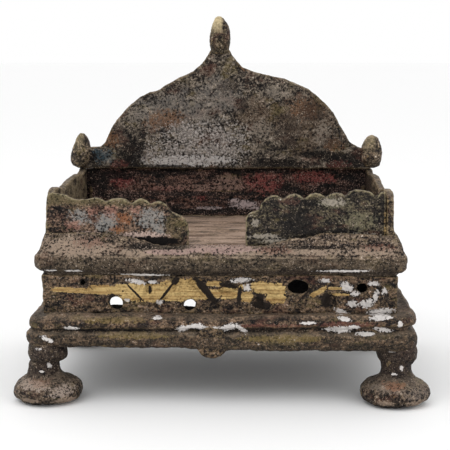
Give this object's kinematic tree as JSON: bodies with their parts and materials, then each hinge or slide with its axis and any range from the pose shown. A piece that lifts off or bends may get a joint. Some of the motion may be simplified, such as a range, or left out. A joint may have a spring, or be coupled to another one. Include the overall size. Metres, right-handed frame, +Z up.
{
  "type": "miniature shrine throne",
  "caption": "Small footed brass throne for a household shrine figure: walled seat with an open front, pierced moulded plinth and ogee back plate with bud finials.",
  "frame": {"origin": "on the standing plane under the feet, below the middle of the plinth's plan", "axes": "+X along the front to the viewer's right, +Y from the open front to the crest plate at the rear, +Z up"},
  "size_m": [0.1352, 0.1004, 0.1254],
  "materials": {
    "patinated_brass": "matt, pitted, dark olive-brown patina with pale grit in the hollows",
    "scraped_brass": "scratched bare yellow brass breaking into dark patina and white lime",
    "worn_seat_brass": "dull pinkish tan, streaked from side to side",
    "pigment_stained_brass": "matt brown patina stained with maroon pigment",
    "mottled_brass": "matt patina mottled grey-blue, salmon and rust under a rubbed rim",
    "ash_coated_brass": "matt brown-grey patina under a worn coat of pale ash",
    "rubbed_brass": "dark patina rubbed to cream brass on the high points",
    "foot_brass": "dark brown pitted patina with brassy rubbed spots",
    "braze_metal": "dull yellow brazing brass, lumpy"
  },
  "bodies": {
    "root": {"base_moulding": "patinated_brass", "frieze_band": "scraped_brass", "cornice_moulding": "patinated_brass", "seat_plate": "worn_seat_brass", "left_side_wall": "patinated_brass", "right_side_wall": "patinated_brass", "rear_wall": "pigment_stained_brass", "left_parapet": "mottled_brass", "right_parapet": "mottled_brass", "crest_plate": "ash_coated_brass", "crest_finial": "rubbed_brass", "left_shoulder_finial": "rubbed_brass", "right_shoulder_finial": "rubbed_brass", "front_left_foot": "foot_brass", "front_right_foot": "foot_brass", "rear_left_foot": "foot_brass", "rear_right_foot": "foot_brass", "pendant_boss": "patinated_brass", "corner_braze": "braze_metal"}
  },
  "joints": []
}
